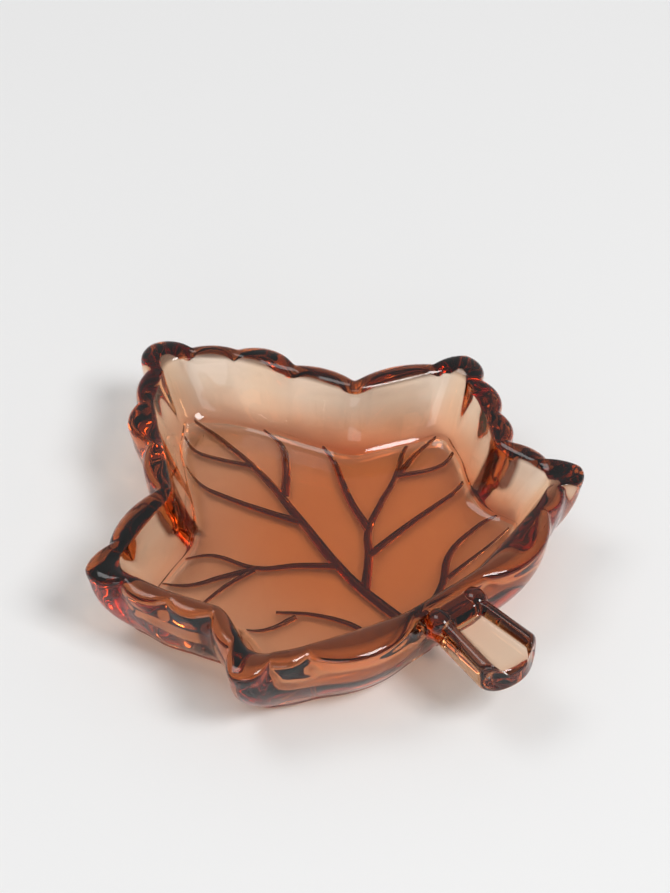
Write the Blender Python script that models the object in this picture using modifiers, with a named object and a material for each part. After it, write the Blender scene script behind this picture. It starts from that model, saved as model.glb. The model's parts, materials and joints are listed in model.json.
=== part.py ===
# Pressed-glass maple-leaf dish on three clear stick-on bumpers.
# Lengths are in metres, +Z is up, the stem points to -Y and the leaf's tip to +Y.
# The origin is on the table, under the middle of the whole outline.

import math

import bmesh
import bpy
import numpy as np

mm = 0.001
WELD = 0.01 * mm

# Driving sizes of the dish
BLADE_WIDTH = 144.0 * mm        # across the two side points
BLADE_LENGTH = 138.5 * mm       # from the stem's root to the leaf's tip
GLASS_HEIGHT = 27.0 * mm        # underside to the top of the rim
FLOOR_THICKNESS = 7.5 * mm
RIM_WIDTH = 4.8 * mm            # at the valleys between the scallops
RIM_CREST = 2.4 * mm            # height of the rounded top of the rim
RIM_CORNER = 6.0 * mm           # radius of the inner edge at the points of the leaf
INNER_LEAN = 7.5 * mm           # how far the inner wall slopes in on its way down
OUTER_LEAN = 6.5 * mm           # how far the outer wall slopes in on its way down
FLOOR_CORNER = 8.0 * mm         # radius of the floor's edge at the points of the leaf
BASE_CORNER = 2.0 * mm
FLOOR_FILLET = 4.0 * mm
BASE_FILLET = 2.0 * mm
BELLY_POWER = 2.2               # how full the outer wall is, 1 is straight
SCALLOP_KEPT_SHARE = 0.5        # of a scallop's rise, at the underside

# Flutes: hollows pressed into the outer wall below the deep notches
FLUTE_WIDTH = 5.0 * mm
FLUTE_TOP_GAP = 1.5 * mm        # below the rounded top of the rim
FLUTE_FOOT_GAP = 1.0 * mm       # above the level of the floor
FLUTE_END_WIDTH = 0.1 * mm
FLUTE_END_POWER = 4             # how blunt its two ends are, 2 is round

# Stem handle
STEM_LENGTH = 28.0 * mm
STEM_ROOT_WIDTH = 16.4 * mm
STEM_END_WIDTH = 21.5 * mm
STEM_THICKNESS = 11.6 * mm
STEM_CORNER = 2.6 * mm
STEM_END_BOW = 3.2 * mm         # how far the end bows outwards in plan
STEM_BOW_POWER = 3              # how late along the stem the bow starts, 1 is at the root
STEM_END_ROUND = 2.6 * mm
STEM_SINK = 3.0 * mm            # how deep the root runs into the wall
RAIL_CREST = 2.2 * mm           # from the stem's side to the top of a rail
RAIL_FOOT = 6.2 * mm            # from the stem's side to the floor of the channel
RAIL_DROP = 1.2 * mm            # from the top of the rim to the top of a rail
CHANNEL_DEPTH = 3.0 * mm        # between the rails
CHANNEL_START = 4.5 * mm        # from the root line
CHANNEL_SLOPE = 2.5 * mm        # length of the slope down into the channel

# Veins: grooves pressed into the underside, full width at the surface
TRUNK_WIDTH = 4.4 * mm
BRANCH_WIDTH = 3.4 * mm
TWIG_WIDTH = 2.6 * mm
VEIN_END_WIDTH = 0.9 * mm

# Bumpers
BUMPER_DIAMETER = 6.0 * mm
BUMPER_THICKNESS = 1.6 * mm
BUMPER_EDGE = 0.5 * mm
SEAT_GAP = 0.3 * mm             # between a bumper and the glass

# Materials: colour, roughness and how much light goes through
AMBER_GLASS = ((0.56, 0.20, 0.08), 0.03, 0.65)
CLEAR_RUBBER = ((0.85, 0.85, 0.83), 0.25, 0.50)
REFRACTION = 1.5

# Facets
ARC_STEPS = 5
TIP_STEPS = 6
RIM_STEPS = 6
WALL_STEPS = 3
FILLET_STEPS = 3
FLUTE_STEPS = 12
FLUTE_SIDES = 2                 # subdivisions of a quarter of its circle
VEIN_STEPS = 3
VEIN_SIDES = 1
BUMPER_SIDES = 24
BUMPER_EDGE_STEPS = 2
SMOOTH_ANGLE = math.radians(40)
CENTRE_STEPS = 20
SEARCH_STEPS = 24
ROUNDING = 1e-9

# Right half of the scalloped rim, from the tip to the stem's root.
# x as a share of half the blade's width, y of its length from the root line,
# then the arc's rise over its chord to the next point, also a share, and the point's kind.
RIM_SHARES = [
    (0.000, 1.000, 0.207, "tip"),
    (0.108, 0.935, 0.120, "valley"),
    (0.256, 0.866, 0.230, "valley"),
    (0.378, 0.748, 0.120, "valley"),
    (0.511, 0.622, 0.120, "notch"),     # above the side lobe
    (0.842, 0.555, 0.120, "valley"),
    (0.980, 0.536, 0.200, "tip"),       # of the side lobe
    (0.926, 0.453, 0.180, "valley"),
    (0.851, 0.352, 0.180, "valley"),
    (0.760, 0.268, 0.140, "notch"),     # below the side lobe
    (0.812, 0.176, 0.100, "valley"),
    (0.893, 0.122, 0.270, "tip"),       # of the lower lobe
    (0.751, 0.094, 0.150, "valley"),
    (0.612, 0.061, 0.190, "valley"),
    (0.179, 0.000, 0.000, "root"),      # of the stem
]
CENTRE_SHARES = (0.30, 0.50)    # heights on the axis between which the leaf's centre is looked for

# Veins, from their root outwards, in the same shares but across the whole leaf
VEIN_SHARES = {
    "trunk": [(0.00, 0.03), (-0.03, 0.18), (-0.035, 0.29), (0.02, 0.50), (0.06, 0.64), (0.06, 0.80),
              (0.045, 0.905)],
    "tip_left_low": [(0.01, 0.49), (-0.06, 0.56), (-0.13, 0.64), (-0.19, 0.73), (-0.21, 0.79)],
    "tip_left_high": [(0.06, 0.69), (-0.02, 0.75), (-0.075, 0.81), (-0.09, 0.87)],
    "tip_right": [(0.055, 0.57), (0.17, 0.64), (0.24, 0.70), (0.27, 0.77)],
    "left_main": [(-0.035, 0.34), (-0.15, 0.39), (-0.29, 0.44), (-0.38, 0.525), (-0.49, 0.575)],
    "left_high": [(-0.30, 0.44), (-0.43, 0.465), (-0.56, 0.49), (-0.66, 0.55)],
    "left_low": [(-0.31, 0.44), (-0.43, 0.44), (-0.57, 0.43)],
    "right_main": [(-0.035, 0.245), (0.105, 0.32), (0.19, 0.375), (0.34, 0.425), (0.48, 0.465),
                   (0.645, 0.535)],
    "right_tall": [(0.20, 0.38), (0.25, 0.475), (0.34, 0.58), (0.40, 0.65)],
    "right_low": [(0.11, 0.32), (0.32, 0.335), (0.54, 0.345), (0.71, 0.35)],
    "right_high": [(0.49, 0.465), (0.65, 0.495), (0.80, 0.515)],
    "right_mid": [(0.49, 0.465), (0.66, 0.43), (0.80, 0.435)],
    "lower_right_high": [(0.03, 0.10), (0.22, 0.155), (0.36, 0.215), (0.55, 0.24), (0.71, 0.245)],
    "lower_right_low": [(0.27, 0.165), (0.46, 0.175), (0.67, 0.18)],
    "lower_left_high": [(-0.02, 0.09), (-0.16, 0.14), (-0.20, 0.20), (-0.28, 0.265), (-0.38, 0.315)],
    "lower_left_mid": [(-0.335, 0.28), (-0.44, 0.285), (-0.55, 0.31)],
    "lower_left_low": [(-0.03, 0.08), (-0.18, 0.145), (-0.30, 0.18), (-0.42, 0.19)],
}
TWIGS = ("tip_left_high", "right_high", "right_mid", "lower_right_low", "lower_left_mid", "left_low")

# Bumpers, on flat glass clear of the veins, in the same shares
BUMPER_SHARES = {
    "tip_bumper": (-0.015, 0.845),
    "left_bumper": (-0.60, 0.15),
    "right_bumper": (0.60, 0.15),
}

# Levels and lines that follow
half_width = BLADE_WIDTH / 2
base_level = BUMPER_THICKNESS + SEAT_GAP
floor_level = base_level + FLOOR_THICKNESS
rim_level = base_level + GLASS_HEIGHT
shoulder_level = rim_level - RIM_CREST
root_line = STEM_LENGTH - (BLADE_LENGTH + STEM_LENGTH) / 2


def blend(start, end, share):
    return start + (end - start) * share


def place(shares):
    """Point of the leaf for a pair of shares."""
    return shares[0] * half_width, root_line + shares[1] * BLADE_LENGTH


def arc_points(start, end, rise_share, steps):
    """Points of the arc from start up to, but without, end. The arc bows to the left."""
    (x0, y0), (x1, y1) = start, end
    if rise_share == 0:
        return [(blend(x0, x1, i / steps), blend(y0, y1, i / steps)) for i in range(steps)]
    chord = math.hypot(x1 - x0, y1 - y0)
    rise = rise_share * chord
    radius = (chord * chord / 4 + rise * rise) / (2 * rise)
    across = ((y0 - y1) / chord, (x1 - x0) / chord)
    centre_x = (x0 + x1) / 2 + across[0] * (rise - radius)
    centre_y = (y0 + y1) / 2 + across[1] * (rise - radius)
    first = math.atan2(y0 - centre_y, x0 - centre_x)
    turn = (math.atan2(y1 - centre_y, x1 - centre_x) - first) % (2 * math.pi) - 2 * math.pi
    points = []
    for i in range(steps):
        angle = first + turn * i / steps
        points.append((centre_x + radius * math.cos(angle), centre_y + radius * math.sin(angle)))
    return points


def half_outline(scalloped):
    """Right half from tip to root, with its scallops or with straight runs between its points."""
    points = []
    for start, end in zip(RIM_SHARES, RIM_SHARES[1:]):
        x, y, rise_share, kind = start
        steps = TIP_STEPS if kind == "tip" else ARC_STEPS
        rounded = scalloped or kind == "tip"
        points += arc_points(place((x, y)), place(end), rise_share if rounded else 0, steps)
    points.append(place(RIM_SHARES[-1]))
    return points


def whole_outline(scalloped):
    """Closed outline, clockwise from the tip."""
    right = half_outline(scalloped)
    left = [(-x, y) for x, y in reversed(right[1:])]
    return right + left


def flattest_view(centre, outline):
    """Sine of the least angle at which any side of the outline is seen from a centre."""
    starts = np.array(outline) - centre
    spans = np.roll(starts, -1, axis=0) - starts
    across = starts[:, 1] * spans[:, 0] - starts[:, 0] * spans[:, 1]
    return float((across / np.hypot(*starts.T) / np.hypot(*spans.T)).min())


def find_centre():
    """Point on the axis from which every side of the scalloped outline is seen best."""
    outline = whole_outline(True)
    centres = [place((0, blend(*CENTRE_SHARES, i / CENTRE_STEPS))) for i in range(CENTRE_STEPS + 1)]
    return max(centres, key=lambda centre: flattest_view(centre, outline))


leaf_centre = find_centre()


def ray_reach(outline, angle):
    """Distance from the leaf's centre to the outline in one direction."""
    ray = np.array([math.cos(angle), math.sin(angle)])
    starts = np.array(outline) - leaf_centre
    spans = np.roll(starts, -1, axis=0) - starts
    across = ray[0] * spans[:, 1] - ray[1] * spans[:, 0]
    across[np.abs(across) < ROUNDING ** 2] = np.inf
    along = (starts[:, 0] * spans[:, 1] - starts[:, 1] * spans[:, 0]) / across
    share = (starts[:, 0] * ray[1] - starts[:, 1] * ray[0]) / across
    hit = (share >= -ROUNDING) & (share <= 1 + ROUNDING)
    return float(along[hit].max())


def clearance(outline, angle, reach):
    """Distance to the outline's nearest side from a point given by its direction and reach."""
    starts = np.array(outline)
    spans = np.roll(starts, -1, axis=0) - starts
    point = np.array(leaf_centre) + reach * np.array([math.cos(angle), math.sin(angle)])
    share = np.clip(((point - starts) * spans).sum(1) / (spans * spans).sum(1), 0, 1)
    return float(np.hypot(*(point - starts - share[:, None] * spans).T).min())


def search(near, far, inside):
    """Last reach between two, from near on, at which a test holds."""
    for _ in range(SEARCH_STEPS):
        middle = (near + far) / 2
        if inside(middle):
            near = middle
        else:
            far = middle
    return near


def inset_reaches(outline, angles, inset, corner):
    """Reaches of the line that runs a whole inset inside the outline, its points rounded."""
    edges = [ray_reach(outline, angle) for angle in angles]
    deep = [search(0, edge, lambda reach: clearance(outline, angle, reach) > inset + corner)
            for angle, edge in zip(angles, edges)]
    if corner == 0:
        return deep
    core = [(leaf_centre[0] + reach * math.cos(angle), leaf_centre[1] + reach * math.sin(angle))
            for angle, reach in zip(angles, deep)]
    return [search(reach, edge, lambda out: clearance(core, angle, out) < corner)
            for angle, reach, edge in zip(angles, deep, edges)]


def leaf_lines():
    """For each direction: angle, then the reach of the rim outside and inside, floor and underside."""
    rim = whole_outline(True)
    plain = whole_outline(False)
    angles = [math.atan2(y - leaf_centre[1], x - leaf_centre[0]) for x, y in rim]
    outsides = [math.hypot(x - leaf_centre[0], y - leaf_centre[1]) for x, y in rim]
    insides = inset_reaches(plain, angles, RIM_WIDTH, RIM_CORNER)
    floors = inset_reaches(plain, angles, RIM_WIDTH + INNER_LEAN, FLOOR_CORNER)
    unders = inset_reaches(plain, angles, OUTER_LEAN, BASE_CORNER)
    for i, angle in enumerate(angles):
        unders[i] += (outsides[i] - ray_reach(plain, angle)) * SCALLOP_KEPT_SHARE
    return list(zip(angles, outsides, insides, floors, unders))


def wall_reach(under, outside, level):
    """Reach of the outer wall at a level, fuller towards the rim than a straight slope."""
    start_level = base_level + BASE_FILLET
    share = (level - start_level) / (shoulder_level - start_level)
    return blend(under, outside, 1 - (1 - share) ** BELLY_POWER)


def bowl_profile(outside, inside, floor, under):
    """Reach and height of each ring, from the underside over the rim to the floor."""
    points = []
    start_level = base_level + BASE_FILLET
    for i in range(FILLET_STEPS):
        turn = math.pi / 2 * i / FILLET_STEPS
        points.append((under - BASE_FILLET * (1 - math.sin(turn)),
                       start_level - BASE_FILLET * math.cos(turn)))
    for i in range(WALL_STEPS + 1):
        level = blend(start_level, shoulder_level, i / WALL_STEPS)
        points.append((wall_reach(under, outside, level), level))
    middle, half = (outside + inside) / 2, (outside - inside) / 2
    for i in range(1, RIM_STEPS + 1):
        turn = math.pi * i / RIM_STEPS
        points.append((middle + half * math.cos(turn), shoulder_level + RIM_CREST * math.sin(turn)))
    fillet_share = FLOOR_FILLET / (shoulder_level - floor_level)
    bend = blend(floor, inside, fillet_share)
    toe = floor - FLOOR_FILLET
    for i in range(FILLET_STEPS + 1):
        share = i / FILLET_STEPS
        reach = blend(blend(bend, floor, share), blend(floor, toe, share), share)
        points.append((reach, floor_level + FLOOR_FILLET * (1 - share) ** 2))
    return points


def loft(name, rings, end_faces):
    """Closed body from rings of equal count. end_faces lists the corners of each face of an end."""
    form = bmesh.new()
    loops = [[form.verts.new(point) for point in ring] for ring in rings]
    count = len(rings[0])
    for lower, upper in zip(loops, loops[1:]):
        for i in range(count):
            j = (i + 1) % count
            form.faces.new((lower[i], lower[j], upper[j], upper[i]))
    for loop in (loops[0], loops[-1]):
        for corners in end_faces:
            form.faces.new([loop[i] for i in corners])
    bmesh.ops.recalc_face_normals(form, faces=form.faces)
    mesh = bpy.data.meshes.new(name)
    form.to_mesh(mesh)
    form.free()
    return bpy.data.objects.new(name, mesh)


def make_bowl():
    """The leaf-shaped bowl, without its stem, veins and flutes."""
    lines = leaf_lines()
    profiles = [bowl_profile(*line[1:]) for line in lines]
    rings = []
    for k in range(len(profiles[0])):
        ring = []
        for line, profile in zip(lines, profiles):
            reach, level = profile[k]
            ring.append((leaf_centre[0] + reach * math.cos(line[0]),
                         leaf_centre[1] + reach * math.sin(line[0]), level))
        rings.append(ring)
    return loft("leaf_dish", rings, [range(len(lines))])


def round_drop(radius, inwards):
    """How far a rounded edge lies below its flat, at a distance in from the side."""
    left = max(0.0, radius - inwards)
    return radius - math.sqrt(radius * radius - left * left)


def stem_section(half, top, channel, shrink):
    """Closed outline of the stem across its length, in columns: x and height."""
    bottom = rim_level - RAIL_DROP - STEM_THICKNESS + shrink
    top -= shrink
    half -= shrink
    inwards = [RAIL_CREST * (1 - math.cos(math.pi / 2 * i / FILLET_STEPS)) for i in range(FILLET_STEPS)]
    inwards += [blend(RAIL_CREST, RAIL_FOOT, i / FILLET_STEPS) for i in range(FILLET_STEPS + 1)]
    lower, upper = [], []
    for step in inwards:
        way = max(0.0, (step - RAIL_CREST) / (RAIL_FOOT - RAIL_CREST))
        lower.append((half - step, bottom + round_drop(STEM_CORNER, step)))
        upper.append((half - step, top - round_drop(RAIL_CREST, step)
                      - channel * (1 - math.cos(math.pi * way)) / 2))
    lower += [(0.0, bottom)] + [(-x, z) for x, z in reversed(lower)]
    upper += [(0.0, top - channel)] + [(-x, z) for x, z in reversed(upper)]
    return lower + upper[::-1]


def make_stem():
    """Stem handle: a bar with two rounded rails and a channel between them."""
    top = rim_level - RAIL_DROP
    end = STEM_LENGTH - STEM_END_BOW
    stations = [
        (-STEM_SINK, top, 0.0, 0.0),
        (CHANNEL_START, top, 0.0, 0.0),
        (CHANNEL_START + CHANNEL_SLOPE, top, CHANNEL_DEPTH, 0.0),
        ((CHANNEL_START + end) / 2, top, CHANNEL_DEPTH, 0.0),
    ]
    for i in range(FILLET_STEPS + 1):
        turn = math.pi / 2 * i / FILLET_STEPS
        stations.append((end - STEM_END_ROUND * (1 - math.sin(turn)), top, CHANNEL_DEPTH,
                         STEM_END_ROUND * (1 - math.cos(turn))))
    rings = []
    for out, level, channel, shrink in stations:
        share = max(0.0, out / STEM_LENGTH)
        half = blend(STEM_ROOT_WIDTH, STEM_END_WIDTH, share) / 2
        end_bow = STEM_END_BOW * max(0.0, out / end) ** STEM_BOW_POWER
        ring = []
        for x, z in stem_section(half, level, channel, shrink):
            ring.append((x, root_line - out - end_bow * (1 - (x / half) ** 2), z))
        rings.append(ring)
    count = len(rings[0])
    columns = [(i, i + 1, count - 2 - i, count - 1 - i) for i in range(count // 2 - 1)]
    return loft("stem_form", rings, columns)


def solid_from_curve(name, curve):
    """Closed mesh object from a curve, its caps welded."""
    guide = bpy.data.objects.new(name, curve)
    bpy.context.scene.collection.objects.link(guide)
    bpy.context.view_layer.update()
    evaluated = guide.evaluated_get(bpy.context.evaluated_depsgraph_get())
    mesh = bpy.data.meshes.new_from_object(evaluated)
    bpy.data.objects.remove(guide)
    form = bmesh.new()
    form.from_mesh(mesh)
    bmesh.ops.remove_doubles(form, verts=form.verts, dist=WELD)
    bmesh.ops.recalc_face_normals(form, faces=form.faces)
    form.to_mesh(mesh)
    form.free()
    return bpy.data.objects.new(name, mesh)


def make_vein(name, shares):
    """Cutter for one vein: a tapered curve lying in the underside."""
    width = TRUNK_WIDTH if name == "trunk" else TWIG_WIDTH if name in TWIGS else BRANCH_WIDTH
    curve = bpy.data.curves.new(name, "CURVE")
    curve.dimensions = "2D"
    curve.fill_mode = "NONE"
    curve.bevel_depth = width / 2
    curve.bevel_resolution = VEIN_SIDES
    curve.resolution_u = VEIN_STEPS
    curve.use_fill_caps = True
    spline = curve.splines.new("BEZIER")
    spline.bezier_points.add(len(shares) - 1)
    for i, (point, pair) in enumerate(zip(spline.bezier_points, shares)):
        x, y = place(pair)
        point.co = (x, y, 0)
        point.handle_left_type = point.handle_right_type = "AUTO"
        point.radius = blend(1, VEIN_END_WIDTH / width, i / (len(shares) - 1))
    vein = solid_from_curve("vein_" + name, curve)
    vein.location.z = base_level
    return vein


def make_flute(name, shares):
    """Cutter for the hollow under a deep notch, lying in the outer wall."""
    x, y = place(shares)
    angle = math.atan2(y - leaf_centre[1], x - leaf_centre[0])
    plain = whole_outline(False)
    outside = math.hypot(x - leaf_centre[0], y - leaf_centre[1])
    under = inset_reaches(plain, [angle], OUTER_LEAN, 0)[0]
    top = shoulder_level - FLUTE_TOP_GAP
    foot = floor_level + FLUTE_FOOT_GAP
    curve = bpy.data.curves.new(name, "CURVE")
    curve.dimensions = "3D"
    curve.bevel_depth = FLUTE_WIDTH / 2
    curve.bevel_resolution = FLUTE_SIDES
    curve.use_fill_caps = True
    spline = curve.splines.new("POLY")
    spline.points.add(FLUTE_STEPS)
    for i, point in enumerate(spline.points):
        way = -math.cos(math.pi * i / FLUTE_STEPS)
        level = blend(foot, top, (way + 1) / 2)
        reach = wall_reach(under, outside, level)
        x, y = leaf_centre[0] + reach * math.cos(angle), leaf_centre[1] + reach * math.sin(angle)
        point.co = (x, y, level, 1)
        point.radius = max(math.sqrt(1 - abs(way) ** FLUTE_END_POWER), FLUTE_END_WIDTH / FLUTE_WIDTH)
    return solid_from_curve("flute_" + name, curve)


def make_bumper(name, shares):
    """Clear stick-on bumper between the table and the underside."""
    x, y = place(shares)
    bpy.ops.mesh.primitive_cylinder_add(vertices=BUMPER_SIDES, radius=BUMPER_DIAMETER / 2,
                                        depth=BUMPER_THICKNESS, location=(x, y, BUMPER_THICKNESS / 2))
    bumper = bpy.context.object
    bumper.name = name
    bumper.data.name = name
    edge = bumper.modifiers.new("rounded_edge", "BEVEL")
    edge.width = BUMPER_EDGE
    edge.segments = BUMPER_EDGE_STEPS
    edge.limit_method = "ANGLE"
    return bumper


def make_material(name, look):
    colour, roughness, clearness = look
    material = bpy.data.materials.new(name)
    material.use_nodes = True
    shader = material.node_tree.nodes["Principled BSDF"]
    shader.inputs["Base Color"].default_value = (*colour, 1.0)
    shader.inputs["Roughness"].default_value = roughness
    shader.inputs["Metallic"].default_value = 0.0
    shader.inputs["Transmission Weight"].default_value = clearness
    shader.inputs["IOR"].default_value = REFRACTION
    return material


def hide_as_cutter(thing, collection):
    collection.objects.link(thing)
    thing.hide_render = True
    thing.display_type = "WIRE"


def add_boolean(target, name, operation, thing=None, collection=None):
    modifier = target.modifiers.new(name, "BOOLEAN")
    modifier.operation = operation
    modifier.solver = "EXACT"
    if collection:
        modifier.operand_type = "COLLECTION"
        modifier.collection = collection
    else:
        modifier.object = thing


def main():
    for thing in list(bpy.data.objects):
        bpy.data.objects.remove(thing)
    scene = bpy.context.scene
    parts = bpy.data.collections.new("glass_leaf_dish")
    forms = bpy.data.collections.new("stem_form")
    hollows = bpy.data.collections.new("flute_and_vein_cutters")
    for collection in (parts, forms, hollows):
        scene.collection.children.link(collection)

    dish = make_bowl()
    parts.objects.link(dish)
    dish.data.materials.append(make_material("amber_glass", AMBER_GLASS))

    stem = make_stem()
    hide_as_cutter(stem, forms)
    add_boolean(dish, "stem", "UNION", thing=stem)

    for name, shares in VEIN_SHARES.items():
        hide_as_cutter(make_vein(name, shares), hollows)
    for x_share, y_share, _, kind in RIM_SHARES:
        if kind == "notch":
            hide_as_cutter(make_flute("right", (x_share, y_share)), hollows)
            hide_as_cutter(make_flute("left", (-x_share, y_share)), hollows)
    add_boolean(dish, "hollows", "DIFFERENCE", collection=hollows)
    dish.data.set_sharp_from_angle(angle=SMOOTH_ANGLE)
    dish.data.shade_smooth()

    clear = make_material("clear_rubber", CLEAR_RUBBER)
    for name, shares in BUMPER_SHARES.items():
        bumper = make_bumper(name, shares)
        for collection in list(bumper.users_collection):
            collection.objects.unlink(bumper)
        parts.objects.link(bumper)
        bumper.data.materials.append(clear)


main()
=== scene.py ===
import json
import math

import bmesh
import bpy
import numpy as np
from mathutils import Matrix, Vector

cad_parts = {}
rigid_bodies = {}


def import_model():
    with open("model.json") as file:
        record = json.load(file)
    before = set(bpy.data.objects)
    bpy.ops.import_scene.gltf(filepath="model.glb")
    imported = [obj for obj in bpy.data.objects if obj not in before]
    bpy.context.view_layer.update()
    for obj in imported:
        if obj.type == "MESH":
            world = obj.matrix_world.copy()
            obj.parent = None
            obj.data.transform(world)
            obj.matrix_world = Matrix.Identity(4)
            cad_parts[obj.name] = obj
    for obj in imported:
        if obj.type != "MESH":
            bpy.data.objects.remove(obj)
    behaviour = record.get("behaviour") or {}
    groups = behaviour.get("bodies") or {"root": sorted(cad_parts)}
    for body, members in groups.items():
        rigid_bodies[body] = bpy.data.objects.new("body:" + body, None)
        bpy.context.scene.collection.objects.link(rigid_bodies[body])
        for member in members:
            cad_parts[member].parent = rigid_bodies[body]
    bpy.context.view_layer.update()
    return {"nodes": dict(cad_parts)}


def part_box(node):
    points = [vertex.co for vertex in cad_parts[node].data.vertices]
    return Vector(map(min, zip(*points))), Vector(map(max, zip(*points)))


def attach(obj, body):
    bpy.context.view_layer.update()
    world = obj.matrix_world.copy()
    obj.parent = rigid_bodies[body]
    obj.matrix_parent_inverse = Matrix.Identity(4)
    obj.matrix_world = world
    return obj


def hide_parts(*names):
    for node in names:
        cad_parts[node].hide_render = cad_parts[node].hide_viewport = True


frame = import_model()
mm = 0.001
weld = 0.005 * mm   # points nearer than this are one
dishLow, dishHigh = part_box("leaf_dish")
bpy.ops.object.select_all(action="DESELECT")
print("frame loaded", sorted(frame["nodes"]))


# small helpers

def editOn(piece):
    bpy.ops.object.select_all(action="DESELECT")
    piece.select_set(True)
    bpy.context.view_layer.objects.active = piece
    bpy.ops.object.mode_set(mode="EDIT")
    bpy.ops.mesh.select_mode(type="VERT")


def editOff():
    bpy.ops.object.mode_set(mode="OBJECT")


def bake(piece):   # applies every modifier of the piece, from the top
    bpy.ops.object.select_all(action="DESELECT")
    piece.select_set(True)
    bpy.context.view_layer.objects.active = piece
    for modifier in list(piece.modifiers):
        bpy.ops.object.modifier_apply(modifier=modifier.name)


def bakePlace(piece):   # object at the origin, its place in its mesh
    bpy.ops.object.select_all(action="DESELECT")
    piece.select_set(True)
    bpy.context.view_layer.objects.active = piece
    bpy.ops.object.transform_apply(location=True, rotation=True, scale=True)


def mix(start, end, share):
    return start + (end - start) * share


# the leaf's lines

leaf = {
    "bladeWidth": 143.98 * mm,
    "bladeLength": 138.5 * mm,
    "stemLength": 28.0 * mm,
    "pointGap": 0.55 * mm,       # between the points of an outline
    "meshGap": 0.48 * mm,        # between the points of a ring
    "meshBlur": 4.0 * mm,
    "centreShare": 0.37,         # from here every side of the outline is seen
    "halvings": 20,              # rounds of search for a reach
}
# right half from the tip to the stem: x of half the width, y of the length, rise of the arc, kind
rimShares = [
    (0.000, 1.000, 0.207, "tip"),
    (0.108, 0.935, 0.120, "valley"),
    (0.256, 0.866, 0.230, "valley"),
    (0.378, 0.748, 0.120, "valley"),
    (0.511, 0.622, 0.120, "notch"),
    (0.842, 0.555, 0.120, "valley"),
    (0.980, 0.536, 0.200, "tip"),
    (0.926, 0.453, 0.180, "valley"),
    (0.851, 0.352, 0.180, "valley"),
    (0.760, 0.268, 0.140, "notch"),
    (0.812, 0.176, 0.100, "valley"),
    (0.893, 0.122, 0.270, "tip"),
    (0.751, 0.094, 0.150, "valley"),
    (0.612, 0.061, 0.190, "valley"),
    (0.179, 0.000, 0.000, "root"),
]

rootLine = dishLow.y + leaf["stemLength"]
leafCentre = np.array([0.0, rootLine + leaf["centreShare"] * leaf["bladeLength"]])


def spot(shares):
    return shares[0] * leaf["bladeWidth"] / 2, rootLine + shares[1] * leaf["bladeLength"]


def arcPoints(start, end, rise, count):   # arc that bows to the left, without its end
    (x0, y0), (x1, y1) = start, end
    if rise == 0:
        return [(mix(x0, x1, i / count), mix(y0, y1, i / count)) for i in range(count)]
    chord = math.hypot(x1 - x0, y1 - y0)
    sag = rise * chord
    radius = (chord * chord / 4 + sag * sag) / (2 * sag)
    side = ((y0 - y1) / chord, (x1 - x0) / chord)
    cx = (x0 + x1) / 2 + side[0] * (sag - radius)
    cy = (y0 + y1) / 2 + side[1] * (sag - radius)
    first = math.atan2(y0 - cy, x0 - cx)
    turn = (math.atan2(y1 - cy, x1 - cx) - first) % (2 * math.pi) - 2 * math.pi
    angles = [first + turn * i / count for i in range(count)]
    return [(cx + radius * math.cos(a), cy + radius * math.sin(a)) for a in angles]


def leafOutline(scalloped):   # closed, clockwise from the tip, the same count either way
    half = []
    for start, end in zip(rimShares, rimShares[1:]):   # an arc is longer than its chord
        a, b = spot(start), spot(end)
        count = max(4, round(math.dist(a, b) * (1 + 2 * start[2] ** 2) / leaf["pointGap"]))
        rise = start[2] if scalloped or start[3] == "tip" else 0
        half += arcPoints(a, b, rise, count)
    half.append(spot(rimShares[-1]))
    return np.array(half + [(-x, y) for x, y in reversed(half[1:])])


def reachOf(outline, angles):   # from the leaf's centre out to the outline
    starts = outline - leafCentre
    spans = np.roll(starts, -1, axis=0) - starts
    rays = np.stack([np.cos(angles), np.sin(angles)], 1)
    across = rays[:, :1] * spans[:, 1] - rays[:, 1:] * spans[:, 0]
    across[np.abs(across) < 1e-18] = np.inf
    along = (starts[:, 0] * spans[:, 1] - starts[:, 1] * spans[:, 0]) / across
    share = (starts[:, 0] * rays[:, 1:] - starts[:, 1] * rays[:, :1]) / across
    along[(share < -1e-9) | (share > 1 + 1e-9)] = -1
    return along.max(1)


def gapTo(outline, angles, reaches):   # from points given by direction and reach to the nearest side
    spans = np.roll(outline, -1, axis=0) - outline
    points = leafCentre + reaches[:, None] * np.stack([np.cos(angles), np.sin(angles)], 1)
    apart = points[:, None] - outline
    share = np.clip((apart * spans).sum(2) / (spans * spans).sum(1), 0, 1)
    return np.hypot(*np.moveaxis(apart - share[..., None] * spans, 2, 0)).min(1)


def halve(near, far, inside):   # last reach at which the test holds, for all directions at once
    for _ in range(leaf["halvings"]):
        middle = (near + far) / 2
        held = inside(middle)
        near, far = np.where(held, middle, near), np.where(held, far, middle)
    return near


def insetReach(outline, angles, inset, corner):   # a line inside the outline, its points rounded
    edges = reachOf(outline, angles)
    deep = halve(edges * 0, edges, lambda reach: gapTo(outline, angles, reach) > inset + corner)
    core = leafCentre + deep[:, None] * np.stack([np.cos(angles), np.sin(angles)], 1)
    return halve(deep, edges, lambda reach: gapTo(core, angles, reach) < corner)


def roundLine(line):   # way to each point of a closed line, and the way back to the first
    steps = np.hypot(*(np.roll(line, -1, axis=0) - line).T)
    return np.concatenate([[0], np.cumsum(steps)])


def soften(values, along, blur):   # smooths values round the leaf, over the length of the blur
    apart = np.abs(along[:-1, None] - along[:-1])
    apart = np.minimum(apart, along[-1] - apart)
    weights = np.exp(-(apart / blur) ** 2 / 2)
    return weights @ values / weights.sum(1)


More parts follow.
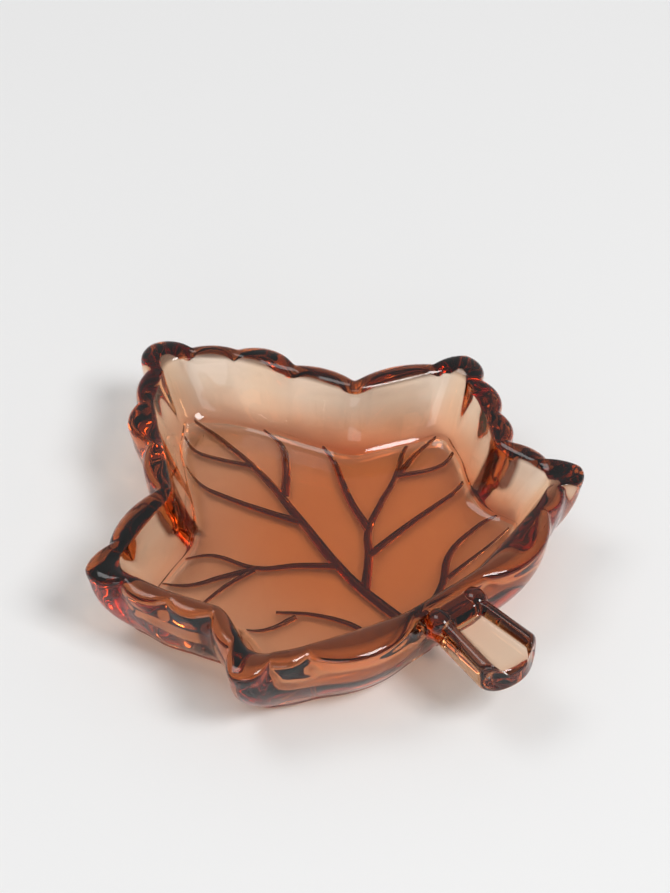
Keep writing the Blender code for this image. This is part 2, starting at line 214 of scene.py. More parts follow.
def evenRays(outline):   # directions from the centre with even gaps along the outline, and their way
    along = roundLine(outline)
    x, y = [soften(values, along, leaf["meshBlur"]) for values in outline.T]
    soft = np.column_stack([x, y])
    way = roundLine(soft)
    count = round(way[-1] / leaf["meshGap"])
    even = np.linspace(0, way[-1], count + 1)
    x, y = [np.interp(even[:-1], way, np.append(values, values[0])) for values in soft.T]
    return np.arctan2(y - leafCentre[1], x - leafCentre[0]), even


# the bowl, one extruded ring after another

bowl = {
    "floorThickness": 7.5 * mm,
    "rimWidth": 4.8 * mm,
    "rimCrest": 2.4 * mm,
    "rimCorner": 6.0 * mm,
    "innerLean": 7.5 * mm,
    "outerLean": 6.5 * mm,
    "floorCorner": 8.0 * mm,
    "baseCorner": 2.0 * mm,
    "floorFillet": 8.0 * mm,
    "baseFillet": 1.8 * mm,
    "bellyPower": 2.2,
    "keptScallop": 0.5,
    "rimPaintedShade": 0.86,            # painted shade on the rim's crest: how much darker the amber is there, and from where to where over the rim, outside to inside
    "shadeStart": 0.3,           # and from where to where over the rim, outside to inside
    "shadeEnd": 0.9,
    "shadeFade": 0.15,
    "supportGap": 0.4 * mm,      # flat ring round the floor and the underside
    "rimBlur": 0.5 * mm,         # the valleys are crisp at the rim
    "wallBlur": 3.5 * mm,        # and soft from this far below it
    "cornerBlur": 3.0 * mm,
    "innerBlur": 2.4 * mm,
    "floorBlur": 5.0 * mm,
    "blurDrop": 4.5 * mm,
    "covePower": 3.4,            # the cove starts as steep as the wall and runs out flat
    "coveRings": 16,
    "filletRings": 6,
    "wallRings": 26,
    "rimRings": 14,
    "innerRings": 8,
    "smoothAngle": 50.0,         # degrees, sharper edges than this stay crisp
    "normalWeight": 90,
}
groove = {                       # shallow, down the outside of the wall below each notch
    "width": 8.0 * mm,
    "depth": 0.45 * mm,
    "foot": 10.0 * mm,           # height at which it ends, just above the floor
    "round": 3.0 * mm,           # length of the foot's rounding
    "sidePower": 1.5,
    "darkness": 2.5,             # of the painted shade on the outside, and of its dark finger of painted shade on the inside
    "innerDark": 2.0,            # and of its dark finger on the inside
    "clearSide": (1, 0.511),     # the one notch with a groove that gets no painted shade
}
undersideZ = dishLow.z
rimZ = dishHigh.z
floorZ = undersideZ + bowl["floorThickness"]
shoulderZ = rimZ - bowl["rimCrest"]


def wallReach(under, outside, z):   # the outer wall bellies out towards the rim
    start = undersideZ + bowl["baseFillet"]
    share = (z - start) / (shoulderZ - start)
    return mix(under, outside, 1 - (1 - share) ** bowl["bellyPower"])


def grooveShare(along, middle, z):   # 1 in the middle of a groove, 0 beside it
    apart = np.abs(along[:-1] - middle)
    apart = np.minimum(apart, along[-1] - apart)
    up = (z - groove["foot"]) / groove["round"]
    if up <= 0:
        return apart * 0
    half = groove["width"] / 2 * math.sqrt(1 - max(0.0, 1 - up) ** 2)
    return min(1.0, up) * np.maximum(0, 1 - (apart / half) ** 2) ** groove["sidePower"]


def findNotches(points, along):   # the way to each notch, and 1 where its groove gets painted shade
    notches = []
    for x, y, _, kind in rimShares:
        if kind == "notch":
            for side in (-1, 1):
                apart = points - np.array(spot((side * x, y)))
                dark = 0.0 if (side, x) == groove["clearSide"] else 1.0
                notches.append((along[np.hypot(*apart.T).argmin()], dark))
    return notches


def bowlRings():   # from the underside over the rim to the floor, with the painted shade on each point
    rim = leafOutline(True)
    plain = leafOutline(False)
    angles, along = evenRays(plain)
    rays = np.stack([np.cos(angles), np.sin(angles)], 1)
    none = angles * 0
    outside = reachOf(rim, angles)
    plainReach = reachOf(plain, angles)
    notches = findNotches(leafCentre + outside[:, None] * rays, along)
    inside = insetReach(plain, angles, bowl["rimWidth"], bowl["rimCorner"])
    inside = soften(inside, along, bowl["innerBlur"])
    floor = insetReach(plain, angles, bowl["rimWidth"] + bowl["innerLean"], bowl["floorCorner"])
    floor = soften(floor, along, bowl["floorBlur"])
    under = insetReach(plain, angles, bowl["outerLean"], bowl["baseCorner"])
    under = under + (outside - plainReach) * bowl["keptScallop"]
    under = soften(under, along, bowl["wallBlur"])
    crisp = soften(outside, along, bowl["rimBlur"])
    soft = soften(outside - plainReach, along, bowl["wallBlur"])
    soft = soft + soften(plainReach, along, bowl["cornerBlur"])

    # the underside and its fillet
    fillet = bowl["baseFillet"]
    steps = [(under - fillet - bowl["supportGap"], undersideZ)]
    for i in range(bowl["filletRings"]):
        turn = math.pi / 2 * i / bowl["filletRings"]
        steps.append((under - fillet * (1 - math.sin(turn)), undersideZ + fillet * (1 - math.cos(turn))))
    paintedShades = [none] * len(steps)

    # the outer wall with its grooves
    for i in range(bowl["wallRings"] + 1):
        z = mix(undersideZ + fillet, shoulderZ, i / bowl["wallRings"])
        drop = min(1.0, (shoulderZ - z) / bowl["blurDrop"])
        edge = mix(crisp, soft, (1 - math.cos(math.pi * drop)) / 2)
        deep, paintedShade = none, none
        for way, dark in notches:
            share = grooveShare(along, way, z)
            deep = np.maximum(deep, share * groove["depth"])
            # painted shade along the groove
            paintedShade = np.maximum(paintedShade, np.minimum(1, share * groove["darkness"]) * dark)
        steps.append((wallReach(under, edge, z) - deep, z))
        paintedShades.append(paintedShade)

    # the rim
    middle, half = (crisp + inside) / 2, (crisp - inside) / 2
    for i in range(1, bowl["rimRings"] + 1):
        share = i / bowl["rimRings"]
        turn = math.pi * share
        steps.append((middle + half * math.cos(turn), shoulderZ + bowl["rimCrest"] * math.sin(turn)))
        # painted shade across the crest, from its top to its inner side
        rise = (share - bowl["shadeStart"]) / bowl["shadeFade"]
        fall = (bowl["shadeEnd"] - share) / bowl["shadeFade"]
        paintedShades.append(none + max(0.0, min(bowl["rimPaintedShade"], rise, fall)))

    # the inner wall, the cove and the floor, where the grooves show through as dark fingers of painted
    # shade
    bend = mix(floor, inside, bowl["floorFillet"] / (shoulderZ - floorZ))
    bendZ = floorZ + bowl["floorFillet"]
    for i in range(1, bowl["innerRings"]):
        share = i / bowl["innerRings"]
        steps.append((mix(inside, bend, share), mix(shoulderZ, bendZ, share)))
    toe = floor - bowl["floorFillet"]
    for i in range(bowl["coveRings"] + 1):
        share = i / bowl["coveRings"]
        steps.append((mix(bend, toe, share), mix(floorZ, bendZ, (1 - share) ** bowl["covePower"])))
    steps.append((toe - bowl["supportGap"], floorZ))
    for reach, z in steps[len(paintedShades):]:
        paintedShade = none
        for way, dark in notches:
            finger = dark * groove["innerDark"] * grooveShare(along, way, z)
            paintedShade = np.maximum(paintedShade, np.minimum(1, finger))
        paintedShades.append(paintedShade)

    rings = []
    for reach, z in steps:
        flat = leafCentre + reach[:, None] * rays
        rings.append(np.column_stack([flat, np.full(len(flat), z)]))
    return rings, paintedShades


def extrudeRings(name, rings, paintedShades):   # a tube from rings of equal count, one extrusion each
    bpy.ops.mesh.primitive_circle_add(vertices=len(rings[0]), radius=1, fill_type="NOTHING")
    piece = bpy.context.object
    piece.name = piece.data.name = name
    piece.data.attributes.new("order", "INT", "POINT")
    piece.data.attributes["order"].data.foreach_set("value", list(range(len(rings[0]))))
    piece.data.attributes.new("paintedShade", "FLOAT", "POINT")
    editOn(piece)
    bpy.ops.mesh.select_all(action="SELECT")
    for number, ring in enumerate(rings):
        if number:
            bpy.ops.mesh.extrude_edges_move()
        shape = bmesh.from_edit_mesh(piece.data)
        order = shape.verts.layers.int["order"]
        paintedShade = shape.verts.layers.float["paintedShade"]
        for vert in shape.verts:
            if vert.select:
                vert.co = ring[vert[order]]
                vert[paintedShade] = paintedShades[number][vert[order]]
        bmesh.update_edit_mesh(piece.data)
    return piece


def capRings(piece):   # caps the first and the last ring apart, because each is flat
    for _ in range(2):
        bpy.ops.mesh.select_all(action="DESELECT")
        shape = bmesh.from_edit_mesh(piece.data)
        loose = [edge for edge in shape.edges if len(edge.link_faces) == 1]
        level = loose[0].verts[0].co.z
        for edge in loose:
            if abs(edge.verts[0].co.z - level) < weld:
                edge.select_set(True)
        bmesh.update_edit_mesh(piece.data)
        bpy.ops.mesh.select_mode(type="EDGE")
        bpy.ops.mesh.edge_face_add()
    bpy.ops.mesh.select_all(action="SELECT")
    bpy.ops.mesh.normals_make_consistent(inside=False)
    editOff()


dish = extrudeRings("pressedLeafDish", *bowlRings())
capRings(dish)
print("bowl", len(dish.data.polygons), "faces")


# the stem handle

stem = {
    "rootWidth": 16.4 * mm,
    "endWidth": 21.5 * mm,
    "thickness": 11.6 * mm,
    "corner": 5.0 * mm,
    "endBow": 3.2 * mm,
    "bowPower": 3,
    "endRound": 2.6 * mm,
    "sink": 3.0 * mm,
    "flare": 2.2 * mm,           # how far the root swells where it meets the wall
    "flareLength": 6.6 * mm,
    "railCrest": 2.8 * mm,
    "railFoot": 5.4 * mm,
    "railDrop": 1.2 * mm,
    "channelDepth": 3.0 * mm,
    "channelStart": 4.5 * mm,
    "channelSlope": 3.0 * mm,
    "railPaintedShade": 1.6,
    "columns": 8,                # across a rail, and across its slope
    "channelColumns": 4,
    "stations": 24,
    "endStations": 6,
    "knobSize": (3.6 * mm, 4.4 * mm, 3.4 * mm),
    "knobPaintedShade": 1.5,
    "knobSides": 48,
    "knobPlace": (6.4 * mm, 2.2 * mm, 0.15 * mm),   # from the middle, out of the wall, below the rim
}


def roundDrop(radius, inwards):   # how far a rounded edge has dropped, this far from its flat side
    left = max(0.0, radius - inwards)
    return radius - math.sqrt(radius * radius - left * left)


def stemSection(half, y, channel, grow, bow):   # lower line and upper line, closed
    top = rimZ - stem["railDrop"] + min(grow, 0)
    bottom = rimZ - stem["railDrop"] - stem["thickness"] - grow
    half += grow
    count = stem["columns"]
    inwards = [stem["railCrest"] * (1 - math.cos(math.pi / 2 * i / count)) for i in range(count)]
    inwards += [mix(stem["railCrest"], stem["railFoot"], i / count) for i in range(count + 1)]
    flat, count = half - stem["railFoot"], stem["channelColumns"]
    inwards += [stem["railFoot"] + flat * i / count for i in range(1, count)]
    lower, upper = [], []
    for step in inwards:
        way = min(1.0, max(0.0, (step - stem["railCrest"]) / (stem["railFoot"] - stem["railCrest"])))
        x = half - step
        out = bow * (1 - (x / half) ** 2)
        lower.append((x, y - out, bottom + roundDrop(stem["corner"], step)))
        upper.append((x, y - out, top - roundDrop(stem["railCrest"], step)
                      - channel * (1 - math.cos(math.pi * way)) / 2))
    lower.append((0.0, y - bow, bottom))
    upper.append((0.0, y - bow, top - channel))
    lower += [(-x, yy, z) for x, yy, z in reversed(lower[:-1])]
    upper += [(-x, yy, z) for x, yy, z in reversed(upper[:-1])]
    return np.array(lower + upper[::-1])


def stemRings():
    end = leaf["stemLength"] - stem["endBow"]
    plain = end - stem["endRound"]
    outs = [mix(-stem["sink"], plain, i / stem["stations"]) for i in range(stem["stations"] + 1)]
    for i in range(stem["endStations"]):
        turn = math.pi / 2 * (i + 1) / stem["endStations"]
        outs.append(end - stem["endRound"] * (1 - math.sin(turn)))
    rings = []
    for out in outs:
        share = max(0.0, out / leaf["stemLength"])
        half = mix(stem["rootWidth"], stem["endWidth"], share) / 2
        slope = min(1.0, max(0.0, (out - stem["channelStart"]) / stem["channelSlope"]))
        channel = stem["channelDepth"] * (1 - math.cos(math.pi * slope)) / 2
        grow = stem["flare"] * max(0.0, 1 - (out + stem["sink"]) / stem["flareLength"]) ** 2
        if out > plain:
            turn = math.asin(1 - (end - out) / stem["endRound"])
            grow = -stem["endRound"] * (1 - math.cos(turn))
        bow = stem["endBow"] * max(0.0, out / end) ** stem["bowPower"]
        rings.append(stemSection(half, rootLine - out, channel, grow, bow))
    return rings


def crestPaintedShade(drop, height, strength):   # painted shade, full at the top of a crest, none at its foot
    return min(1.0, max(0.0, strength * (1 - drop / height)))


rings = stemRings()
handle = extrudeRings("stemHandle", rings, [[0.0] * len(rings[0])] * len(rings))
bpy.ops.mesh.select_all(action="DESELECT")
shape = bmesh.from_edit_mesh(handle.data)
order = shape.verts.layers.int["order"]
count = len(rings[0])
paintedShade = shape.verts.layers.float["paintedShade"]
for vert in shape.verts:   # the rails' crests get painted shade as dark as the rim's
    vert[paintedShade] = crestPaintedShade(rimZ - stem["railDrop"] - vert.co.z, stem["railCrest"], stem["railPaintedShade"])
for y in (rootLine + stem["sink"], dishLow.y):   # each end is closed column by column
    ends = {}
    for edge in shape.edges:
        if len(edge.link_faces) == 1:
            for vert in edge.verts:
                if abs(vert.co.y - y) < stem["endBow"] + stem["endRound"]:
                    ends[vert[order]] = vert
    for i in range(count // 2 - 1):
        corners = [ends[i], ends[i + 1], ends[count - 2 - i], ends[count - 1 - i]]
        shape.faces.new(dict.fromkeys(corners))
bmesh.update_edit_mesh(handle.data)
bpy.ops.mesh.select_all(action="SELECT")
bpy.ops.mesh.normals_make_consistent(inside=False)
editOff()
knobs = []
for side in (-1, 1):
    across, out, down = stem["knobPlace"]
    place = (side * across, rootLine - out, rimZ - down - stem["knobSize"][2])
    bpy.ops.mesh.primitive_uv_sphere_add(segments=stem["knobSides"], ring_count=stem["knobSides"] // 2,
                                         radius=1, scale=stem["knobSize"], location=place)
    knob = bpy.context.object
    bakePlace(knob)
    # painted shade, darkest at the knob's top
    knob.data.attributes.new("paintedShade", "FLOAT", "POINT")
    for point, value in zip(knob.data.vertices, knob.data.attributes["paintedShade"].data):
        value.value = crestPaintedShade(rimZ - point.co.z, stem["knobSize"][2], stem["knobPaintedShade"])
    join = handle.modifiers.new("knob", "BOOLEAN")
    join.operation = "UNION"
    join.solver = "MANIFOLD"
    join.object = knob
    knobs.append(knob)
bake(handle)
for knob in knobs:
    bpy.data.objects.remove(knob)
print("stem", len(handle.data.polygons), "faces")


# the veins, cut from the underside

veins = {
    "trunkWidth": 4.6 * mm,
    "branchWidth": 3.2 * mm,
    "twigWidth": 2.6 * mm,
    "endWidth": 1.6 * mm,
    "heightShare": 0.52,         # of a groove's width
    "skirtShare": 0.08,          # of the height, cut off so that the edges have a small angle
    "archPower": 1.4,
    "footShare": 0.3,            # of the width, how far a cutter reaches below the glass
    "sides": 16,
    "steps": 10,
}
veinShares = {
    "trunk": [(0.00, 0.03), (-0.03, 0.18), (-0.035, 0.29), (0.02, 0.50), (0.06, 0.64), (0.06, 0.80),
              (0.045, 0.905)],
    "tipLeftLow": [(0.01, 0.49), (-0.06, 0.56), (-0.13, 0.64), (-0.19, 0.73), (-0.21, 0.79)],
    "tipLeftHighTwig": [(0.06, 0.69), (-0.02, 0.75), (-0.075, 0.81), (-0.09, 0.87)],
    "tipRight": [(0.055, 0.57), (0.17, 0.64), (0.24, 0.70), (0.27, 0.77)],
    "leftMain": [(-0.035, 0.34), (-0.15, 0.39), (-0.29, 0.44), (-0.38, 0.525), (-0.49, 0.575)],
    "leftHigh": [(-0.30, 0.44), (-0.43, 0.465), (-0.56, 0.49), (-0.66, 0.55)],
    "leftLowTwig": [(-0.31, 0.44), (-0.43, 0.44), (-0.57, 0.43)],
    "rightMain": [(-0.035, 0.245), (0.105, 0.32), (0.19, 0.375), (0.34, 0.425), (0.48, 0.465),
                  (0.645, 0.535)],
    "rightTall": [(0.20, 0.38), (0.25, 0.475), (0.34, 0.58), (0.40, 0.65)],
    "rightLow": [(0.11, 0.32), (0.32, 0.335), (0.54, 0.345), (0.71, 0.35)],
    "rightHighTwig": [(0.49, 0.465), (0.65, 0.495), (0.80, 0.515)],
    "rightMidTwig": [(0.49, 0.465), (0.66, 0.43), (0.80, 0.435)],
    "lowerRightHigh": [(0.03, 0.10), (0.22, 0.155), (0.36, 0.215), (0.55, 0.24), (0.71, 0.245)],
    "lowerRightLowTwig": [(0.27, 0.165), (0.46, 0.175), (0.67, 0.18)],
    "lowerLeftHigh": [(-0.02, 0.09), (-0.16, 0.14), (-0.20, 0.20), (-0.28, 0.265), (-0.38, 0.315)],
    "lowerLeftMidTwig": [(-0.335, 0.28), (-0.44, 0.285), (-0.55, 0.31)],
    "lowerLeftLow": [(-0.03, 0.08), (-0.18, 0.145), (-0.30, 0.18), (-0.42, 0.19)],
}


def veinSection():   # the groove's soft arch, one unit wide, closed below the glass
    curve = bpy.data.curves.new("veinSection", "CURVE")
    curve.dimensions = "2D"
    spline = curve.splines.new("POLY")
    spline.points.add(veins["sides"] + 2)
    for i in range(veins["sides"] + 1):
        side = 2 * i / veins["sides"] - 1
        height = math.cos(math.pi / 2 * side) ** veins["archPower"] - veins["skirtShare"]
        spline.points[i].co = (side / 2, height * veins["heightShare"], 0, 1)
    spline.points[-2].co = (0.5, -veins["footShare"], 0, 1)
    spline.points[-1].co = (-0.5, -veins["footShare"], 0, 1)
    spline.use_cyclic_u = True
    section = bpy.data.objects.new("veinSection", curve)
    bpy.context.scene.collection.objects.link(section)
    return section


def cutterFrom(name, curve, collection):   # a curve's tube as a closed mesh
    tube = bpy.data.objects.new(name, curve)
    bpy.context.scene.collection.objects.link(tube)
    bpy.ops.object.select_all(action="DESELECT")
    tube.select_set(True)
    bpy.context.view_layer.objects.active = tube
    bpy.ops.object.convert(target="MESH")
    editOn(tube)
    bpy.ops.mesh.select_all(action="SELECT")
    bpy.ops.mesh.remove_doubles(threshold=weld)
    bpy.ops.mesh.normals_make_consistent(inside=False)
    editOff()
    bpy.context.scene.collection.objects.unlink(tube)
    collection.objects.link(tube)
    return tube


def veinCurve(name, shares, section):   # narrows from its root to its end
    width = veins["branchWidth"]
    if name == "trunk":
        width = veins["trunkWidth"]
    if name.endswith("Twig"):
        width = veins["twigWidth"]
    curve = bpy.data.curves.new(name, "CURVE")
    curve.dimensions = "3D"
    curve.twist_mode = "Z_UP"
    curve.bevel_mode = "OBJECT"
    curve.bevel_object = section
    curve.resolution_u = veins["steps"]
    curve.use_fill_caps = True
    spline = curve.splines.new("BEZIER")
    spline.bezier_points.add(len(shares) - 1)
    for i, (point, pair) in enumerate(zip(spline.bezier_points, shares)):
        x, y = spot(pair)
        point.co = (x, y, 0)
        point.handle_left_type = point.handle_right_type = "AUTO"
        point.radius = mix(width, veins["endWidth"], i / (len(shares) - 1))
    return curve


hollows = bpy.data.collections.new("hollows")
bpy.context.scene.collection.children.link(hollows)
section = veinSection()
for name, shares in veinShares.items():
    vein = cutterFrom("vein" + name, veinCurve(name, shares, section), hollows)
    vein.location.z = undersideZ
    bakePlace(vein)
bpy.data.objects.remove(section)

union = dish.modifiers.new("stem", "BOOLEAN")
union.operation = "UNION"
union.solver = "MANIFOLD"
union.object = handle
cut = dish.modifiers.new("hollows", "BOOLEAN")
cut.operation = "DIFFERENCE"
cut.solver = "MANIFOLD"
cut.operand_type = "COLLECTION"
cut.collection = hollows
for piece in (dish, handle):
    moulded = piece.data.attributes.new("moulded", "INT", "FACE")
    moulded.data.foreach_set("value", [1] * len(piece.data.polygons))
bake(dish)
for piece in [handle] + list(hollows.objects):
    bpy.data.objects.remove(piece)
bpy.data.collections.remove(hollows)
editOn(dish)
bpy.ops.mesh.select_all(action="SELECT")
bpy.ops.mesh.remove_doubles(threshold=weld)
bpy.ops.mesh.normals_make_consistent(inside=False)
editOff()
bpy.ops.object.shade_smooth_by_angle(angle=math.radians(bowl["smoothAngle"]))
even = dish.modifiers.new("evenNormals", "WEIGHTED_NORMAL")
even.keep_sharp = True
even.weight = bowl["normalWeight"]
bake(dish)
dish.data.attributes.remove(dish.data.attributes["order"])
moulded = dish.data.attributes["moulded"].data
grooveFaces = [face.index for face in dish.data.polygons if not moulded[face.index].value]
dish.data.attributes.remove(dish.data.attributes["moulded"])
print("dish", len(dish.data.polygons), "faces after its cuts")


# bumpers under the glass

bumper = {
    "domeShare": 0.35,           # of the height that is rounded
    "rings": 6,
    "sides": 48,
    "smoothAngle": 40.0,
}


def makeBumper(node):
    low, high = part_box(node)
    radius = (high.x - low.x) / 2
    height = high.z - low.z
    middle = (low + high) / 2
    bpy.ops.mesh.primitive_cylinder_add(vertices=bumper["sides"], radius=radius, depth=height,
                                        location=middle)
    piece = bpy.context.object
    piece.name = piece.data.name = node + "Rubber"
    editOn(piece)
    bpy.ops.mesh.select_all(action="DESELECT")
    bpy.ops.mesh.select_mode(type="EDGE")
    shape = bmesh.from_edit_mesh(piece.data)
    for edge in shape.edges:
        if all(vert.co.z < 0 for vert in edge.verts):
            edge.select_set(True)
    bmesh.update_edit_mesh(piece.data)
    bpy.ops.mesh.bevel(offset=height * bumper["domeShare"], segments=bumper["rings"], affect="EDGES")
    editOff()
    bakePlace(piece)
    bpy.ops.object.shade_smooth_by_angle(angle=math.radians(bumper["smoothAngle"]))
    return piece


bumpers = {node: makeBumper(node) for node in ("tip_bumper", "left_bumper", "right_bumper")}
print("bumpers", len(bumpers))


# glass and rubber

glass = {
    "takenPerMetre": (5.0, 33.0, 63.0),   # red, green and blue that the glass swallows
    "densityShare": 1.02,                 # of the most that it swallows
    "underTint": (1.0, 1.0, 1.0),         # the underside adds no colour,
    "underEnd": 0.05 * mm,
    "baseTint": (1.0, 0.39, 0.125),       # the amber is deep in the floor and at the wall's foot,
    "wallTint": (1.0, 1.0, 1.0),          # clear on the upper walls
    "fadeStart": 6.5 * mm,
    "fadeEnd": 25.0 * mm,
    "crestShadeTint": (0.065, 0.017, 0.012),   # painted shade, deep again on the crest of the rim
    "veinShadeTint": (0.09, 0.02, 0.01),       # and painted shade in the depth of the veins, where little light gets through
    "veinShadeClear": 0.15,                    # where little light gets through
    "veinStart": 0.25 * mm,
    "veinEnd": 0.60 * mm,
    "middle": (12.0 * mm, -6.0 * mm),     # from here outwards the amber thins out, partly painted light that brightens the far floor and the left lobe
    "edgeStart": 21.0 * mm,
    "edgeEnd": 66.0 * mm,
    "edgeFade": 0.55,
    "waveSize": 45.0,                     # the slow waves that a mould leaves
    "waveDetail": 1.0,
    "waveDepth": 0.25 * mm,
    "waveStrength": 0.5,
    "haze": 0.02,                         # roughness of the patches that are least polished
    "ior": 1.51,
}
rubber = {
    "tint": (0.97, 0.97, 0.96),
    "ior": 1.04,
    "grain": 900.0,
    "detail": 2.0,
    "smooth": 0.06,                       # least and most roughness
    "dull": 0.18,
}


def newMaterial(name):
    material = bpy.data.materials.new(name)
    material.use_nodes = True
    tree = material.node_tree
    return material, tree.nodes, tree.links, tree.nodes["Principled BSDF"]


def ease(tree, value, start, end, most):   # a soft step from 0 to most
    step = tree.nodes.new("ShaderNodeMapRange")
    step.interpolation_type = "SMOOTHSTEP"
    step.inputs["From Min"].default_value = start
    step.inputs["From Max"].default_value = end
    step.inputs["To Max"].default_value = most
    tree.links.new(value, step.inputs["Value"])
    return step.outputs["Result"]


def spread(tree, value, low, high):   # from 0 to 1 becomes from low to high
    span = tree.nodes.new("ShaderNodeMapRange")
    span.inputs["To Min"].default_value = low
    span.inputs["To Max"].default_value = high
    tree.links.new(value, span.inputs["Value"])
    return span.outputs["Result"]


def noise(tree, place, size, detail):
    cells = tree.nodes.new("ShaderNodeTexNoise")
    cells.inputs["Scale"].default_value = size
    cells.inputs["Detail"].default_value = detail
    tree.links.new(place, cells.inputs["Vector"])
    return cells.outputs["Fac"]


def blend(tree, share, start, end):   # start is a colour or a socket
    tints = tree.nodes.new("ShaderNodeMix")
    tints.data_type = "RGBA"
    tints.inputs["B"].default_value = (*end, 1)
    if isinstance(start, tuple):
        tints.inputs["A"].default_value = (*start, 1)
    else:
        tree.links.new(start, tints.inputs["A"])
    tree.links.new(share, tints.inputs["Factor"])
    return tints.outputs["Result"]


def amberGlass(name, shadedVeins):
    material, nodes, links, shader = newMaterial(name)
    tree = material.node_tree
    shader.inputs["Transmission Weight"].default_value = 1.0
    shader.inputs["IOR"].default_value = glass["ior"]
    place = nodes.new("ShaderNodeTexCoord")
    axes = nodes.new("ShaderNodeSeparateXYZ")
    links.new(place.outputs["Object"], axes.inputs[0])

    # where the amber is deep
    flat = nodes.new("ShaderNodeVectorMath")
    flat.operation = "MULTIPLY_ADD"
    flat.inputs[1].default_value = (1, 1, 0)
    flat.inputs[2].default_value = (-glass["middle"][0], -glass["middle"][1], 0)
    links.new(place.outputs["Object"], flat.inputs[0])
    away = nodes.new("ShaderNodeVectorMath")
    away.operation = "LENGTH"
    links.new(flat.outputs["Vector"], away.inputs[0])
    height = ease(tree, axes.outputs["Z"], glass["fadeStart"], glass["fadeEnd"], 1.0)
    # partly painted light: the amber thins away from the middle, brightening the far floor and the left
    # lobe
    edge = ease(tree, away.outputs["Value"], glass["edgeStart"], glass["edgeEnd"], glass["edgeFade"])
    thin = nodes.new("ShaderNodeMath")
    thin.operation = "ADD"
    thin.use_clamp = True
    links.new(height, thin.inputs[0])
    links.new(edge, thin.inputs[1])
    foot = ease(tree, axes.outputs["Z"], undersideZ, undersideZ + glass["underEnd"], 1.0)
    tint = blend(tree, foot, glass["underTint"], glass["baseTint"])
    tint = blend(tree, thin.outputs["Value"], tint, glass["wallTint"])
    # painted shade on the rim's crest, the rails, the knobs and the grooves, from the points' own values
    rim = nodes.new("ShaderNodeAttribute")
    rim.attribute_name = "paintedShade"
    tint = blend(tree, rim.outputs["Fac"], tint, glass["crestShadeTint"])
    # painted shade in the depth of the veins: dark tint and less light through
    if shadedVeins:
        depth = ease(tree, axes.outputs["Z"], undersideZ + glass["veinStart"],
                     undersideZ + glass["veinEnd"], 1.0)
        tint = blend(tree, depth, tint, glass["veinShadeTint"])
        links.new(spread(tree, depth, 1.0, glass["veinShadeClear"]), shader.inputs["Transmission Weight"])
    links.new(tint, shader.inputs["Base Color"])

    # waves and patches a little less polished
    waves = noise(tree, place.outputs["Object"], glass["waveSize"], glass["waveDetail"])
    bump = nodes.new("ShaderNodeBump")
    bump.inputs["Distance"].default_value = glass["waveDepth"]
    bump.inputs["Strength"].default_value = glass["waveStrength"]
    links.new(waves, bump.inputs["Height"])
    links.new(bump.outputs["Normal"], shader.inputs["Normal"])
    links.new(spread(tree, waves, 0.0, glass["haze"]), shader.inputs["Roughness"])

    # the colour in the glass
    body = nodes.new("ShaderNodeVolumeAbsorption")
    density = max(glass["takenPerMetre"]) * glass["densityShare"]
    body.inputs["Density"].default_value = density
    body.inputs["Color"].default_value = (*[1 - taken / density for taken in glass["takenPerMetre"]], 1)
    links.new(body.outputs["Volume"], nodes["Material Output"].inputs["Volume"])
    return material


def clearRubber():
    material, nodes, links, shader = newMaterial("clearRubber")
    shader.inputs["Transmission Weight"].default_value = 1.0
    shader.inputs["IOR"].default_value = rubber["ior"]
    shader.inputs["Base Color"].default_value = (*rubber["tint"], 1)
    place = nodes.new("ShaderNodeTexCoord")
    grain = noise(material.node_tree, place.outputs["Object"], rubber["grain"], rubber["detail"])
    satin = spread(material.node_tree, grain, rubber["smooth"], rubber["dull"])
    links.new(satin, shader.inputs["Roughness"])
    return material


dish.data.materials.clear()
dish.data.materials.append(amberGlass("amberPressedGlass", False))
dish.data.materials.append(amberGlass("amberWithPaintedShadeInTheVeins", True))
# the veins' cut faces take the glass with painted shade
for index in grooveFaces:
    dish.data.polygons[index].material_index = 1
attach(dish, "root")
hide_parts("leaf_dish")
clear = clearRubber()
for node, piece in bumpers.items():
    piece.data.materials.append(clear)
    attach(piece, "root")
    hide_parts(node)
print("materials on")


# table, light and camera

table = {
    "radius": 4.0,
    "sides": 96,
    "drop": 0.1 * mm,            # below the feet, so that no two faces lie in one plane
    "colour": (0.84, 0.84, 0.84),
    "roughness": 0.75,
    "shine": 0.2,
}
studio = {
    "horizon": 0.40,             # brightness of the room, level with the table
    "ceiling": 0.44,             # and overhead,
    "ceilingStart": 0.6,         # from where a direction rises by this much of its length
    "backdrop": 0.84,            # brightness where the camera sees past the table
}
softboxes = {                    # place, size and power
    "keyBox": ((0.40, -1.50, 1.95), 0.85, 33.0),
    "fillBox": ((-0.60, 1.05, 2.35), 1.1, 12.5),
    "frontBox": ((-0.95, -1.16, 0.34), 0.9, 4.0),
}
view = {
    "azimuth": -39.32,           # degrees
    "elevation": 43.31,
    "distance": 829.5 * mm,
    "target": (15.06 * mm, 13.72 * mm, 26.5 * mm),
    "lens": 153.2,
    "nearest": 0.01,
}


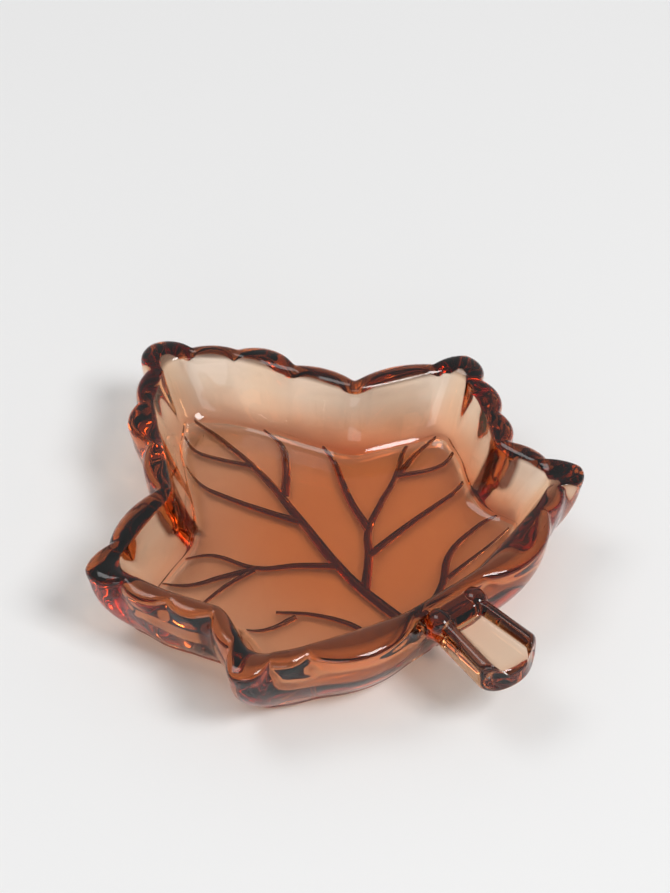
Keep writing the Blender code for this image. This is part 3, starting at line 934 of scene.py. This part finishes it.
def tableTop():
    bpy.ops.mesh.primitive_circle_add(vertices=table["sides"], radius=table["radius"],
                                      fill_type="NGON", location=(0, 0, -table["drop"]))
    top = bpy.context.object
    top.name = top.data.name = "paleTable"
    material, _, _, shader = newMaterial("palePaper")
    shader.inputs["Base Color"].default_value = (*table["colour"], 1)
    shader.inputs["Roughness"].default_value = table["roughness"]
    shader.inputs["Specular IOR Level"].default_value = table["shine"]
    top.data.materials.append(material)


def softbox(name, place, size, power):
    bpy.ops.object.light_add(type="AREA", location=place)
    lamp = bpy.context.object
    lamp.name = name
    lamp.data.shape = "SQUARE"
    lamp.data.size = size
    lamp.data.energy = power
    aim = Vector((0, 0, 0)) - Vector(place)
    lamp.rotation_euler = aim.to_track_quat("-Z", "Y").to_euler()


def room():   # even and pale, its brightness set apart from what the camera sees
    world = bpy.data.worlds.new("softRoom")
    bpy.context.scene.world = world
    world.use_nodes = True
    nodes, links = world.node_tree.nodes, world.node_tree.links
    place = nodes.new("ShaderNodeTexCoord")
    axes = nodes.new("ShaderNodeSeparateXYZ")
    links.new(place.outputs["Generated"], axes.inputs[0])
    fade = nodes.new("ShaderNodeMapRange")
    fade.inputs["From Max"].default_value = studio["ceilingStart"]
    fade.inputs["To Min"].default_value = studio["horizon"]
    fade.inputs["To Max"].default_value = studio["ceiling"]
    links.new(axes.outputs["Z"], fade.inputs["Value"])
    seen = nodes.new("ShaderNodeLightPath")
    tone = nodes.new("ShaderNodeMix")
    tone.inputs["B"].default_value = studio["backdrop"]
    links.new(seen.outputs["Is Camera Ray"], tone.inputs["Factor"])
    links.new(fade.outputs["Result"], tone.inputs["A"])
    links.new(tone.outputs["Result"], nodes["Background"].inputs["Color"])


def photoCamera():
    a, e = math.radians(view["azimuth"]), math.radians(view["elevation"])
    back = Vector((math.sin(a) * math.cos(e), -math.cos(a) * math.cos(e), math.sin(e)))
    place = Vector(view["target"]) + view["distance"] * back
    bpy.ops.object.camera_add(location=place, rotation=(math.pi / 2 - e, 0, a))
    camera = bpy.context.object
    camera.data.lens = view["lens"]
    camera.data.sensor_fit = "HORIZONTAL"
    camera.data.clip_start = view["nearest"]
    bpy.context.scene.camera = camera


tableTop()
for name, (place, size, power) in softboxes.items():
    softbox(name, place, size, power)
room()
photoCamera()
bpy.context.scene.view_settings.view_transform = "Standard"
print("table, light and camera set")
